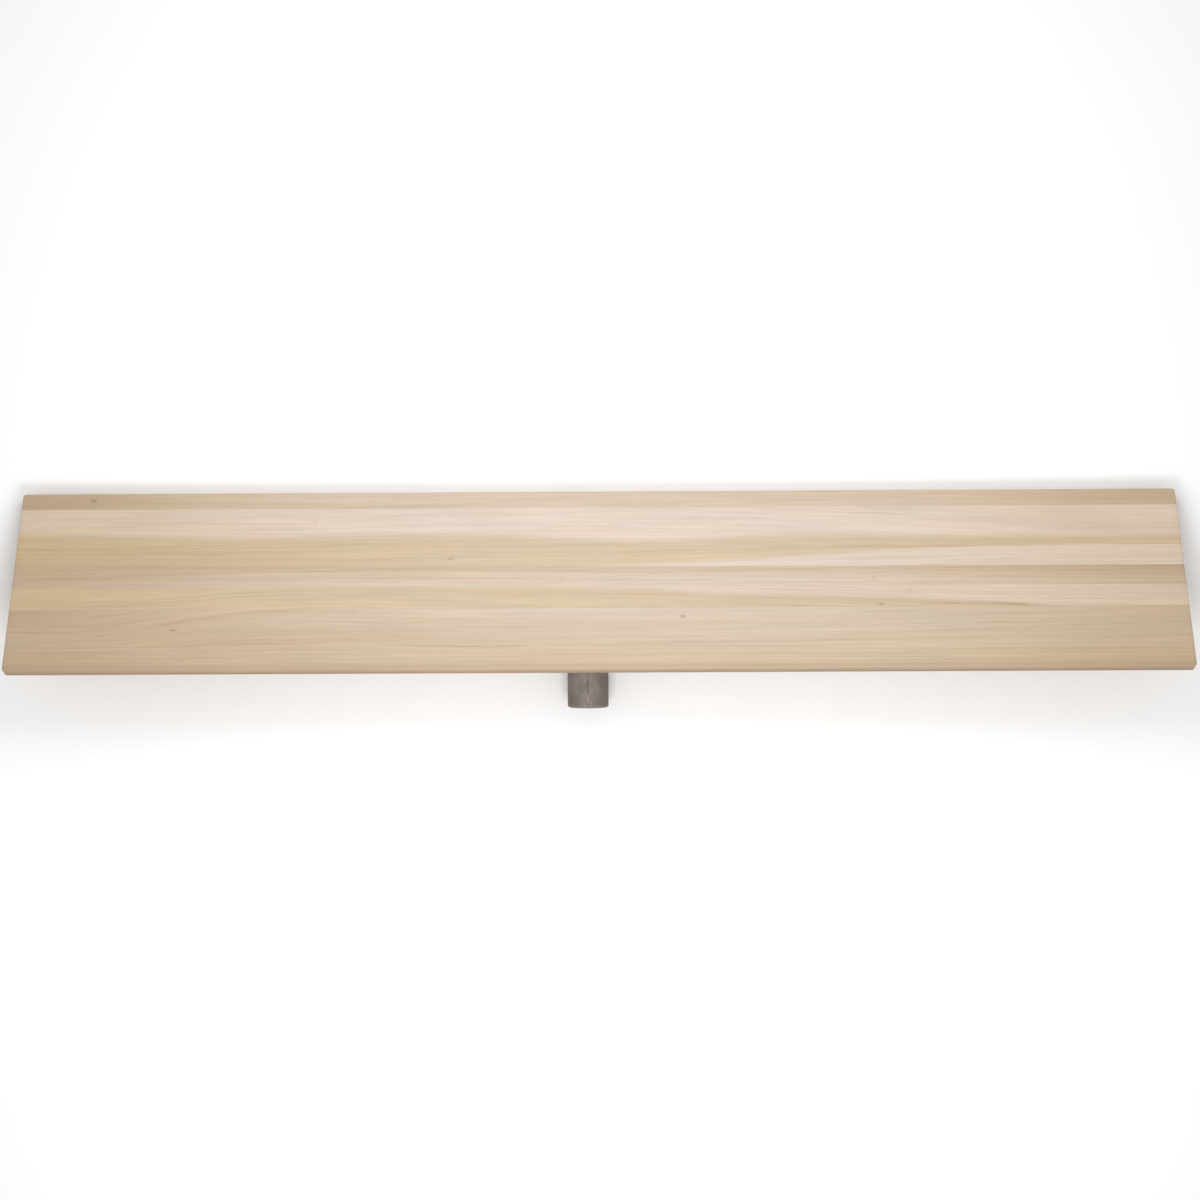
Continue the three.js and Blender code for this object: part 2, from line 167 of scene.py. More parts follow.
class Shader:
    """Writes a material's nodes. Each method returns an output socket."""

    def __init__(self, name, roughness, specular, metallic=0.0):
        self.material = bpy.data.materials.new(name)
        self.material.use_nodes = True
        self.tree = self.material.node_tree
        self.surface = self.tree.nodes["Principled BSDF"]
        self.surface.inputs["Roughness"].default_value = roughness
        self.surface.inputs["Metallic"].default_value = metallic
        self.surface.inputs["Specular IOR Level"].default_value = specular

    def put(self, value, socket):
        if isinstance(value, bpy.types.NodeSocket):
            self.tree.links.new(value, socket)
        elif value is not None:
            socket.default_value = value

    def node(self, kind, inputs=(), output=0, **settings):
        node = self.tree.nodes.new(kind)
        for key, value in settings.items():
            setattr(node, key, value)
        for key, value in dict(inputs).items():
            self.put(value, node.inputs[key])
        return node.outputs[output]

    def math(self, operation, a, b=None):
        return self.node("ShaderNodeMath", {0: a, 1: b}, operation=operation)

    def add(self, a, b):
        return self.math("ADD", a, b)

    def times(self, a, b):
        return self.math("MULTIPLY", a, b)

    def combine(self, x, y, z):
        return self.node("ShaderNodeCombineXYZ", {0: x, 1: y, 2: z})

    def axes(self, vector):
        node = self.tree.nodes.new("ShaderNodeSeparateXYZ")
        self.put(vector, node.inputs[0])
        return node.outputs[0], node.outputs[1], node.outputs[2]

    def step(self, value, low, high, start=0.0, end=1.0):
        inputs = {"Value": value, "From Min": low, "From Max": high, "To Min": start, "To Max": end}
        return self.node("ShaderNodeMapRange", inputs, interpolation_type="SMOOTHSTEP")

    def scaled(self, value, low, high, start, end):
        inputs = {"Value": value, "From Min": low, "From Max": high, "To Min": start, "To Max": end}
        return self.node("ShaderNodeMapRange", inputs)

    def mix(self, share, a, b, blend="MIX"):
        return self.node("ShaderNodeMixRGB", {"Fac": share, "Color1": a, "Color2": b}, blend_type=blend)

    def noise(self, vector, scale=1.0, detail=2.0, roughness=0.5):
        inputs = {"Vector": vector, "Scale": scale, "Detail": detail, "Roughness": roughness}
        return self.node("ShaderNodeTexNoise", inputs)

    def curve(self, value, points):
        """A smooth curve through given (input, output) points, both from 0 to 1."""
        node = self.tree.nodes.new("ShaderNodeFloatCurve")
        line = node.mapping.curves[0]
        line.points[0].location = points[0]
        line.points[1].location = points[-1]
        for place in points[1:-1]:
            line.points.new(*place)
        node.mapping.update()
        self.put(value, node.inputs["Value"])
        return node.outputs[0]

    def row_position(self):
        return self.node("ShaderNodeTexCoord", output="Object")

    def placed_in(self, matrix):
        """The surface point in another frame."""
        inverse = matrix.inverted()
        inputs = {
            "Vector": self.row_position(),
            "Location": inverse.to_translation(),
            "Rotation": inverse.to_euler("XYZ"),
        }
        return self.node("ShaderNodeMapping", inputs, vector_type="POINT")

    def finish(self, colour, roughness=None, height=None, depth=None):
        self.put(colour, self.surface.inputs["Base Color"])
        self.put(roughness, self.surface.inputs["Roughness"])
        if height is not None:
            bump = self.node("ShaderNodeBump", {"Height": height, "Distance": depth, "Strength": 1.0})
            self.put(bump, self.surface.inputs["Normal"])
        return self.material


# --- poplar -------------------------------------------------------------------------------------

SAP = seen(234, 217, 201)
PALE = seen(226, 209, 190)
LILAC = seen(221, 202, 179)
OLIVE = seen(221, 200, 171)
OCHRE = seen(212, 187, 142)
BROWN = seen(208, 188, 162)
MAUVE = seen(206, 179, 156)
UMBER = seen(190, 162, 132)
STREAK = seen(170, 138, 106)
KNOT = seen(132, 100, 66)

# Each stave's figure. A place is a pair of shares: along the blade from the left end, and across it from
# the far edge. "edge" is where its second wood begins, and "flow" how far the grain has moved towards the
# far edge, in mm. "soft" is half the width of that edge in mm, "pith" the tree's centre in mm from the
# middle of the stave's face, and "ends" how dark the left and right ends are. A streak is (line, width in
# mm, strength, reach along the blade), a knot (place, length and width in mm, strength), a mark across the
# grain (place, height in mm, strength), and a patch (place, length and width in mm, colour, strength).
FIGURES = {
    "stave_1": dict(
        wood=seen(225, 205, 182), pith=(-60, -45), flow=[(0, 2), (0.1, 0), (0.5, -0.6), (1, 0)],
        streaks=[
            ([(0, 0.072), (0.1, 0.08), (0.2, 0.086), (0.4, 0.091)], 2.0, 0.16, (0.0, 0.4)),
            ([(0, 0.03), (0.08, 0.05), (0.16, 0.062), (0.3, 0.07)], 1.6, 0.12, (0.0, 0.28)),
            ([(0.5, 0.07), (0.75, 0.06), (1, 0.05)], 1.6, 0.06, (0.55, 1.0)),
        ],
        knots=[((0.062, 0.045), 3.4, 2.0, 0.5)],
        patches=[((0.0, 0.06), 150, 16, UMBER, 0.45), ((1.0, 0.04), 160, 16, UMBER, 0.2)],
        ends=(0.6, 0.45),
    ),
    "stave_2": dict(
        wood=SAP, other=OLIVE, other_below=True, soft=5.5, pith=(30, -70),
        edge=[(0, 0.232), (0.1, 0.248), (0.2, 0.262), (0.28, 0.25), (0.4, 0.25), (0.5, 0.285),
              (0.57, 0.287), (0.65, 0.262), (0.8, 0.27), (1, 0.27)],
        flow=[(0, 0), (0.2, -1), (0.35, 1.5), (0.5, 0), (0.62, -3), (0.8, -10), (1, -17)],
        streaks=[
            ([(0, 0.325), (0.15, 0.322), (0.22, 0.327), (0.3, 0.305), (0.42, 0.318)], 1.0, 0.2, (0.0, 0.44)),
            ([(0, 0.3), (0.2, 0.302), (0.3, 0.285), (0.5, 0.31), (0.6, 0.305)], 0.9, 0.1, (0.05, 0.6)),
            ([(0.62, 0.104), (0.7, 0.125), (0.8, 0.155), (0.86, 0.17), (1, 0.19)], 0.9, 0.11, (0.62, 1.0)),
            ([(0.56, 0.115), (0.66, 0.145), (0.78, 0.172), (0.9, 0.195), (1, 0.21)], 0.9, 0.09, (0.58, 0.98)),
            ([(0, 0.17), (0.12, 0.172), (0.25, 0.19), (0.4, 0.205), (0.55, 0.215)], 0.9, 0.07, (0.0, 0.5)),
            ([(0, 0.215), (0.15, 0.22), (0.3, 0.215), (0.5, 0.24), (0.7, 0.225)], 1.0, 0.06, (0.0, 0.7)),
            ([(0.6, 0.285), (0.8, 0.289), (1, 0.292)], 1.2, 0.12, (0.66, 1.0)),
        ],
        knots=[((0.66, 0.212), 5.0, 0.5, 0.2)],
        marks=[((0.256, 0.17), 4.0, 0.12)],
        patches=[((0.115, 0.165), 50, 8, BROWN, 0.2), ((0.0, 0.29), 200, 14, OCHRE, 0.35),
                 ((0.78, 0.14), 60, 14, (0.7, 0.55, 0.47, 1), 0.12)],
    ),
    "stave_3": dict(
        wood=OLIVE, other=SAP, other_below=True, soft=3.0, pith=(-50, -60),
        edge=[(0, 0.47), (0.44, 0.452), (0.5, 0.434), (0.56, 0.419), (0.62, 0.398), (0.7, 0.37),
              (0.78, 0.346), (0.86, 0.325), (0.92, 0.314), (1, 0.31)],
        flow=[(0, 0), (0.2, -1.2), (0.45, 0), (0.55, 1), (0.7, 6), (0.85, 11), (1, 13)],
        streaks=[
            ([(0, 0.352), (0.2, 0.352), (0.3, 0.336), (0.45, 0.345), (1, 0.34)], 0.8, 0.14, (0.0, 0.46)),
            ([(0, 0.375), (0.2, 0.379), (0.3, 0.365), (0.5, 0.37)], 0.8, 0.08, (0.0, 0.46)),
            ([(0.5, 0.352), (0.6, 0.345), (0.7, 0.333), (0.84, 0.326), (1, 0.32)], 0.9, 0.28, (0.5, 0.845)),
            ([(0.76, 0.336), (0.8, 0.332), (0.836, 0.327), (1, 0.32)], 0.8, 0.8, (0.775, 0.84)),
            ([(0, 0.424), (0.2, 0.431), (0.5, 0.432)], 0.8, 0.1, (0.0, 0.46)),
            ([(0.6, 0.41), (0.8, 0.385), (1, 0.37)], 0.9, 0.07, (0.6, 1.0)),
        ],
        knots=[((0.374, 0.387), 2.6, 1.4, 0.32)],
        patches=[((0.02, 0.345), 220, 10, OCHRE, 0.5), ((0.0, 0.425), 330, 10, MAUVE, 0.75)],
    ),
    "stave_4": dict(
        wood=PALE, other=seen(217, 197, 171), other_below=False, soft=3.0, pith=(40, -50),
        edge=[(0, 0.478), (0.15, 0.472), (0.25, 0.46), (0.45, 0.46), (0.53, 0.481), (0.62, 0.479),
              (0.75, 0.472), (1, 0.478)],
        flow=[(0, -2), (0.2, 0), (0.45, -1), (0.53, 2), (0.62, 0), (1, -1)],
        streaks=[
            ([(0, 0.49), (0.07, 0.484), (0.13, 0.474), (0.22, 0.458), (0.45, 0.456), (0.54, 0.47),
              (0.62, 0.458), (0.8, 0.452), (1, 0.449)], 0.9, 0.2, (0.0, 1.0)),
            ([(0, 0.532), (0.1, 0.52), (0.3, 0.5), (0.48, 0.506), (0.55, 0.514), (0.66, 0.494), (0.8, 0.5),
              (1, 0.495)], 0.8, 0.15, (0.05, 1.0)),
            ([(0, 0.54), (0.6, 0.535), (0.75, 0.528), (0.9, 0.54), (1, 0.545)], 0.8, 0.18, (0.5, 1.0)),
            ([(0, 0.5), (0.2, 0.49), (0.5, 0.495), (1, 0.49)], 0.9, 0.1, (0.0, 0.5)),
        ],
        marks=[((0.735, 0.505), 3.5, 0.12), ((0.47, 0.5), 3.0, 0.06)],
        patches=[((0.0, 0.49), 300, 18, MAUVE, 0.7), ((1.0, 0.47), 290, 12, MAUVE, 0.5),
                 ((0.33, 0.465), 190, 9, OCHRE, 0.26)],
        ends=(0.2, 0.5),
    ),
    "stave_5": dict(
        wood=OLIVE, other=SAP, other_below=False, soft=3.2, pith=(-40, -60),
        edge=[(0, 0.535), (0.4, 0.543), (0.48, 0.549), (0.54, 0.562), (0.6, 0.592), (0.66, 0.604),
              (0.74, 0.619), (0.8, 0.637), (0.86, 0.657), (0.9, 0.672), (1, 0.68)],
        flow=[(0, -4), (0.12, -4), (0.2, 2), (0.28, 3), (0.42, 1), (0.55, -2), (0.7, -7), (0.9, -14),
              (1, -16)],
        streaks=[
            ([(0, 0.624), (0.14, 0.625), (0.21, 0.593), (0.3, 0.585), (0.5, 0.605), (1, 0.62)], 0.9, 0.16,
             (0.0, 0.5)),
            ([(0, 0.64), (0.14, 0.638), (0.22, 0.612), (0.35, 0.625), (0.5, 0.64)], 0.9, 0.1, (0.0, 0.45)),
            ([(0.58, 0.606), (0.66, 0.616), (0.74, 0.63), (0.8, 0.641), (0.88, 0.664), (1, 0.68)], 1.5, 0.2,
             (0.6, 0.885)),
            ([(0.7, 0.65), (0.8, 0.652), (0.86, 0.658), (0.885, 0.665), (1, 0.67)], 1.3, 0.6, (0.76, 0.893)),
            ([(0.5, 0.56), (0.7, 0.575), (1, 0.6)], 0.9, 0.07, (0.55, 1.0)),
        ],
        knots=[((0.74, 0.653), 3.4, 1.2, 0.42)],
        marks=[((0.765, 0.575), 1.5, 0.16)],
        patches=[((0.0, 0.6), 190, 14, OCHRE, 0.2), ((1.0, 0.6), 200, 20, MAUVE, 0.3),
                 ((0.67, 0.59), 160, 15, BROWN, 0.42)],
    ),
    "stave_6": dict(
        wood=LILAC, other=PALE, other_below=False, soft=3.5, pith=(28, -52),
        edge=[(0, 0.66), (0.24, 0.665), (0.33, 0.69), (0.4, 0.727), (0.55, 0.737), (0.7, 0.735),
              (0.8, 0.715), (0.88, 0.69), (1, 0.66)],
        flow=[(0, -9), (0.06, -9), (0.12, -3), (0.18, 8), (0.25, 12), (0.4, 9), (0.55, 9), (0.8, 11),
              (1, 15)],
        streaks=[
            ([(0, 0.787), (0.06, 0.784), (0.12, 0.757), (0.17, 0.712), (0.2, 0.687), (0.26, 0.674),
              (0.4, 0.67)], 1.2, 0.26, (0.0, 0.27)),
            ([(0, 0.735), (0.05, 0.727), (0.08, 0.706), (0.12, 0.676), (0.2, 0.66)], 1.2, 0.2, (0.0, 0.13)),
            ([(0, 0.76), (0.06, 0.757), (0.12, 0.728), (0.16, 0.69), (0.19, 0.672), (0.3, 0.66)], 1.2, 0.12,
             (0.0, 0.19)),
            ([(0, 0.885), (0.15, 0.868), (0.28, 0.856), (0.35, 0.872), (0.5, 0.872), (0.62, 0.86),
              (0.8, 0.842), (1, 0.83)], 0.9, 0.28, (0.0, 0.85)),
            ([(0, 0.86), (0.15, 0.848), (0.28, 0.83), (0.4, 0.845), (0.6, 0.83), (1, 0.8)], 0.9, 0.12,
             (0.0, 0.7)),
            ([(0.1, 0.86), (0.3, 0.84), (0.5, 0.85), (0.7, 0.822), (0.84, 0.79), (0.92, 0.771), (1, 0.768)],
             0.9, 0.22, (0.66, 1.0)),
            ([(0, 0.81), (0.2, 0.835), (0.3, 0.8), (0.45, 0.775), (0.6, 0.79), (0.8, 0.76), (1, 0.74)],
             0.8, 0.12, (0.3, 0.95)),
            ([(0, 0.9), (0.3, 0.89), (0.5, 0.885), (0.7, 0.88), (0.9, 0.872), (1, 0.865)], 0.8, 0.22,
             (0.45, 1.0)),
            ([(0.5, 0.86), (0.75, 0.85), (1, 0.84)], 0.8, 0.12, (0.5, 1.0)),
        ],
        knots=[((0.141, 0.782), 2.8, 1.2, 0.5), ((0.572, 0.717), 3.4, 1.8, 0.42)],
        marks=[((0.293, 0.69), 4.0, 0.13)],
        patches=[((0.05, 0.8), 330, 26, MAUVE, 0.6), ((0.0, 0.69), 110, 9, MAUVE, 0.8),
                 ((0.28, 0.84), 200, 12, MAUVE, 0.35), ((0.73, 0.695), 190, 11, BROWN, 0.42),
                 ((0.43, 0.74), 140, 11, BROWN, 0.28), ((0.25, 0.885), 150, 9, OCHRE, 0.2)],
        ends=(0.3, 0.45),
    ),
    "stave_7": dict(
        wood=seen(217, 196, 169), pith=(-70, -40), flow=[(0, 0), (0.3, -0.8), (0.6, 0.6), (1, -0.5)],
        streaks=[
            ([(0, 0.932), (0.2, 0.938), (0.5, 0.93), (1, 0.925)], 0.8, 0.14, (0.0, 1.0)),
            ([(0, 0.965), (0.3, 0.958), (0.7, 0.962), (1, 0.955)], 0.9, 0.16, (0.0, 1.0)),
        ],
        patches=[((0.08, 0.94), 330, 20, MAUVE, 0.5)],
        ends=(0.5, 0.5),
        # Its near side strip carries painted shade as well as wear.
        worn_and_shaded_edge=True,
    ),
}


class Poplar:
    """One stave's wood: pale sapwood and olive heartwood with fine, drifting growth rings."""

    def __init__(self, name):
        self.figure = FIGURES[name]
        self.shader = Shader(name + "_poplar", roughness=0.66, specular=0.28)
        self.index = STAVES.index(name)
        self.seed = self.index * 1.7
        s = self.shader
        self.x, self.y, self.z = s.axes(s.placed_in(BLADE))
        self.along = s.scaled(self.x, -BLADE_LENGTH / 2, BLADE_LENGTH / 2, 0, 1)
        self.across = s.scaled(self.y, BLADE_HALF_WIDTH, -BLADE_HALF_WIDTH, 0, 1)

    def layer(self, along, across, offset, detail=2.0, roughness=0.5):
        """Noise stretched along the grain, with so many cells per metre along the blade."""
        s = self.shader
        return s.noise(s.combine(s.times(self.x, along), across, self.seed + offset),
                       detail=detail, roughness=roughness)

    def near(self, place, length, width):
        """1 at a place on the blade, falling off over a length and width in mm."""
        s = self.shader
        dx = s.times(s.math("SUBTRACT", self.along, place[0]), BLADE_LENGTH / (length * MM))
        dy = s.times(s.math("SUBTRACT", self.across, place[1]), BLADE_WIDTH / (width * MM))
        squared = s.add(s.times(dx, dx), s.times(dy, dy))
        return s.math("EXPONENT", s.times(squared, -1.0))

    def straightened(self):
        """Across the stave in metres, with the grain's drift taken out, so that grain lines are level."""
        s = self.shader
        moves = [mm for _, mm in self.figure["flow"]]
        low, high = min(moves) - 1, max(moves) + 1
        shares = [(u, (mm - low) / (high - low)) for u, mm in self.figure["flow"]]
        drift = s.scaled(s.curve(self.along, shares), 0, 1, low * MM, high * MM)
        wander = self.layer(3.4, s.times(self.y, 16), 20, detail=3)
        drift = s.add(drift, s.scaled(wander, 0, 1, -3.2 * MM, 3.2 * MM))
        for place, length, width, _ in self.figure.get("knots", []):
            above = s.math("SUBTRACT", place[1], self.across)
            bulge = s.times(s.times(self.near(place, length * 4, width * 3.5), above), 0.67 * BLADE_WIDTH)
            drift = s.add(drift, bulge)
        return s.math("SUBTRACT", self.y, drift)

    def ring_distance(self, level):
        """Distance from the tree's pith, which sets the growth rings on the faces and the ends."""
        s = self.shader
        low, high = STAVE_BOXES[self.index]
        pith_y, pith_z = self.figure["pith"]
        dy = s.math("SUBTRACT", level, (low.y + high.y) / 2 + pith_y * MM)
        dz = s.math("SUBTRACT", self.z, pith_z * MM)
        return s.math("SQRT", s.add(s.times(dy, dy), s.times(dz, dz)))

    def build(self):
        s = self.shader
        figure = self.figure
        level = self.straightened()
        ring = self.ring_distance(level)
        broad = self.layer(1.3, s.times(ring, 60), 0)
        bands = self.layer(3.0, s.times(ring, 230), 1)
        lines = self.layer(7.0, s.times(ring, 520), 2, detail=2)
        threads = self.layer(9.0, s.times(level, 540), 3, detail=3, roughness=0.8)
        fibres = s.noise(s.combine(s.times(self.x, 45), s.times(level, 1500), s.times(self.z, 1500)),
                         detail=3, roughness=0.65)
        phase = s.math("FRACT", s.add(s.times(ring, 1 / (2.3 * MM)), s.times(bands, 1.4)))
        late = s.math("POWER", phase, 5.0)
        planed = s.noise(s.combine(s.times(self.x, 330), s.times(self.y, 6), 0.0), detail=0)

        colour = figure["wood"]
        if "edge" in figure:
            colour = s.mix(self.other_share(bands, lines), figure["wood"], figure["other"])
        for place, length, width, shade, strength in figure.get("patches", []):
            ragged = s.scaled(bands, 0.25, 0.75, 0.7, 1.2)
            share = s.times(s.times(self.near(place, length, width), ragged), strength)
            colour = s.mix(share, colour, shade)
        colour = self.tinted(colour, level)
        shades = [(broad, 0.020), (bands, 0.028), (lines, 0.052), (threads, 0.100), (fibres, 0.036),
                  (planed, 0.004)]
        tone = s.scaled(late, 0, 1, 1.010, 0.965)
        for shade, depth in shades:
            tone = s.times(tone, s.scaled(shade, 0.25, 0.75, 1 - depth, 1 + depth))
        colour = s.mix(1.0, colour, s.combine(tone, tone, tone), "MULTIPLY")
        colour = self.marked(colour)
        colour = self.painted_end_tint_and_darkening(colour)
        colour = self.end_grain(colour, late)
        colour = self.glue_lines(colour)
        colour = self.handled(colour)

        roughness = s.scaled(lines, 0.3, 0.7, 0.60, 0.72)
        height = s.add(s.times(fibres, 0.5), s.add(s.times(late, -0.35), s.times(planed, 0.18)))
        return s.finish(colour, roughness, height, 0.09 * MM)

    def other_share(self, bands, lines):
        """How much of the stave's second wood is here: its edge is feathered along the grain."""
        s = self.shader
        figure = self.figure
        edge = s.curve(self.along, widened(figure["edge"]))
        coarse = s.scaled(bands, 0.25, 0.75, -0.007, 0.007)
        ragged = s.add(coarse, s.scaled(lines, 0.25, 0.75, -0.005, 0.005))
        off = s.add(s.math("SUBTRACT", self.across, edge), ragged)
        if not figure["other_below"]:
            off = s.times(off, -1.0)
        soft = figure["soft"] * MM / BLADE_WIDTH
        return s.step(off, -soft, soft)

    def tinted(self, colour, level):
        """Slow drifts of hue along the grain, pinker in places and greener in others."""
        s = self.shader
        tint = self.layer(4.0, s.times(level, 95), 4, detail=3)
        blush = self.layer(9.0, s.times(level, 210), 5, detail=2)
        warm = s.mix(1.0, colour, (1.022, 0.984, 0.962, 1), "MULTIPLY")
        cool = s.mix(1.0, colour, (0.982, 1.006, 1.020, 1), "MULTIPLY")
        share = s.scaled(s.add(s.times(tint, 0.6), s.times(blush, 0.4)), 0.36, 0.64, 0, 1)
        return s.mix(share, warm, cool)

    def streak(self, points, width, reach):
        """1 on a curved line across the figure, falling off over its width in mm, faded at its ends."""
        s = self.shader
        path = s.curve(self.along, widened(points))
        waves = self.layer(14, s.times(self.y, 20), 30 + width, detail=2)
        wobble = s.scaled(waves, 0.25, 0.75, -0.004, 0.004)
        gap = s.add(s.math("SUBTRACT", self.across, path), wobble)
        off = s.times(gap, BLADE_WIDTH / (width * MM))
        line = s.math("EXPONENT", s.times(s.times(off, off), -1.0))
        start, end = reach
        fade_in = s.step(self.along, start - 0.001, start + 0.05) if start > 0 else 1.0
        fade_out = s.step(self.along, end - 0.05, end + 0.001, 1.0, 0.0) if end < 1 else 1.0
        broken = s.noise(s.combine(s.times(self.x, 9), s.times(path, 40), self.seed + 5), detail=2)
        strength = s.step(broken, 0.3, 0.62, 0.3, 1.0)
        return s.times(s.times(line, strength), s.times(fade_in, fade_out))

    def marked(self, colour):
        """Dark mineral streaks, pin knots and short marks across the grain."""
        s = self.shader
        for points, width, strength, reach in self.figure["streaks"]:
            colour = s.mix(s.times(self.streak(points, width, reach), strength), colour, STREAK)
        for place, length, width, strength in self.figure.get("knots", []):
            colour = s.mix(s.times(self.near(place, length, width), strength), colour, KNOT)
        for place, height, strength in self.figure.get("marks", []):
            colour = s.mix(s.times(self.near(place, 2.2, height), strength), colour, KNOT)
        return colour

    def painted_end_tint_and_darkening(self, colour):
        """Painted light: the wood is tinted yellower towards the blade's ends, where the light falls off; some
        staves also darken there.
        """
        s = self.shader
        from_middle = s.math("ABSOLUTE", s.math("SUBTRACT", self.along, 0.5))
        # Painted light: a yellow tint standing in for the ends' fainter, yellower light.
        painted_yellow = s.mix(1.0, colour, (0.99, 0.955, 0.875, 1), "MULTIPLY")
        colour = s.mix(s.step(from_middle, 0.12, 0.5), colour, painted_yellow)
        left, right = self.figure.get("ends", (0.0, 0.0))
        share = s.add(s.step(self.along, 0, 0.2, left, 0), s.step(self.along, 0.8, 1.0, 0, right))
        return s.mix(s.times(share, 0.5), colour, seen(184, 156, 126))

    def end_grain(self, colour, late):
        """The sawn ends drink in more light, and their rings show darker."""
        s = self.shader
        facing = s.node("ShaderNodeTexCoord", output="Normal")
        end = s.step(s.math("ABSOLUTE", s.axes(facing)[0]), 0.75, 0.97)
        sawn = s.combine(s.times(self.x, 30), s.times(self.y, 1500), s.times(self.z, 1500))
        pores = s.noise(sawn, detail=1)
        dark = s.mix(1.0, colour, (0.76, 0.72, 0.66, 1), "MULTIPLY")
        dark = s.mix(s.times(late, 0.35), dark, seen(150, 118, 86))
        dark = s.mix(s.step(pores, 0.5, 0.75, 0, 0.25), dark, seen(140, 110, 80))
        return s.mix(end, colour, dark)

    def glue_lines(self, colour):
        """A hairline of glue where the stave meets each neighbour."""
        s = self.shader
        low, high = STAVE_BOXES[self.index]
        for edge in (low.y - GLUE_GAP / 2, high.y + GLUE_GAP / 2):
            off = s.math("ABSOLUTE", s.math("SUBTRACT", self.y, edge))
            if abs(edge) < BLADE_HALF_WIDTH:
                colour = s.mix(s.step(off, 0, GLUE_LINE, 0.35, 0), colour, STREAK)
        return colour

    def handled(self, colour):
        """Faint smudges, and a handle edge darkened towards the back, partly by wear and partly by painted shade.
        """
        s = self.shader
        smudge = s.noise(s.combine(s.times(self.x, 7), s.times(self.y, 22), 4.0), detail=3, roughness=0.6)
        colour = s.mix(s.step(smudge, 0.52, 0.75, 0, 0.08), colour, seen(186, 164, 140))
        if self.figure.get("worn_and_shaded_edge"):
            # Painted shade and wear: the near side strip darkens towards the back, where the rounded arris turns
            # away from the light.
            edge_wobble = s.noise(s.combine(s.times(self.x, 12), s.times(self.z, 90), 9.0), detail=3)
            depth = s.add(self.z, s.scaled(edge_wobble, 0.3, 0.7, -1.2 * MM, 1.2 * MM))
            low_down = s.step(depth, -10.5 * MM, 0.5 * MM, 0.95, 0.32)
            outside = s.step(self.across, 0.955, 0.986)
            colour = s.mix(s.times(low_down, outside), colour, seen(168, 142, 116))
        return colour


def widened(points):
    """A line that stops short of an end carries on level to it."""
    start = [] if points[0][0] <= 0 else [(0.0, points[0][1])]
    end = [] if points[-1][0] >= 1 else [(1.0, points[-1][1])]
    return start + points + end


# --- metal --------------------------------------------------------------------------------------


def cast_iron(name, matrix, seam=False):
    """Sand-cast iron: a grainy skin, darker in the pits, rubbed pale on the high spots."""
    s = Shader(name, roughness=0.6, metallic=0.35, specular=0.45)
    place = s.placed_in(matrix)
    grit = s.noise(place, scale=1400, detail=3, roughness=0.65)
    lumps = s.noise(place, scale=260, detail=3, roughness=0.55)
    stain = s.noise(place, scale=45, detail=4, roughness=0.6)
    pits = s.node("ShaderNodeTexVoronoi", {"Vector": place, "Scale": 520.0}, output="Distance")
    colour = s.mix(s.step(stain, 0.35, 0.68), seen(130, 118, 112), seen(158, 148, 141))
    colour = s.mix(s.step(grit, 0.38, 0.72, 0, 0.55), colour, seen(178, 168, 162))
    colour = s.mix(s.step(lumps, 0.45, 0.25, 0, 0.5), colour, seen(97, 86, 81))
    colour = s.mix(s.step(pits, 0.16, 0.05, 0, 0.5), colour, seen(74, 64, 59))
    # With the seam, the socket also gets painted shade on its two flanks.
    if seam:
        colour = seam_marks(s, place, painted_flank_shade(s, place, colour))
    roughness = s.scaled(grit, 0.3, 0.7, 0.5, 0.74)
    height = s.add(s.add(s.times(grit, 0.45), s.times(lumps, 0.9)), s.step(pits, 0.0, 0.2, 0, 0.35))
    return s.finish(colour, roughness, height, 0.35 * MM)


def painted_flank_shade(s, place, colour):
    """Painted shade: the tube's two sides are darkened, as a lit cylinder's flanks fall into shade."""
    aside = s.math("ABSOLUTE", s.axes(place)[0])
    share = s.step(aside, SOCKET_RADIUS * 0.45, SOCKET_RADIUS, 0, 0.42)
    return s.mix(share, colour, seen(92, 80, 77))


def seam_marks(s, place, colour):
    """The parting seam: dirty in places along its length, and filed bright just behind the mouth."""
    x, y, _ = s.axes(place)
    from_mouth = s.math("SUBTRACT", SOCKET_MOUTH, y)
    slant = s.add(x, s.scaled(from_mouth, 0, 20 * MM, -0.9 * MM, 1.1 * MM))
    line = s.math("EXPONENT", s.times(s.times(s.times(x, x), -1.0), 1 / (0.9 * MM) ** 2))
    file_cut = s.math("EXPONENT", s.times(s.times(s.times(slant, slant), -1.0), 1 / (0.7 * MM) ** 2))
    broken = s.step(s.noise(s.combine(0.0, s.times(y, 150), 0.0), detail=3), 0.4, 0.6, 0.15, 1.0)
    filed = s.times(s.step(from_mouth, 4 * MM, 7 * MM), s.step(from_mouth, 12 * MM, 16 * MM, 1, 0))
    colour = s.mix(s.times(s.times(line, broken), 0.7), colour, seen(84, 71, 67))
    return s.mix(s.times(s.times(file_cut, filed), 0.85), colour, seen(196, 182, 178))


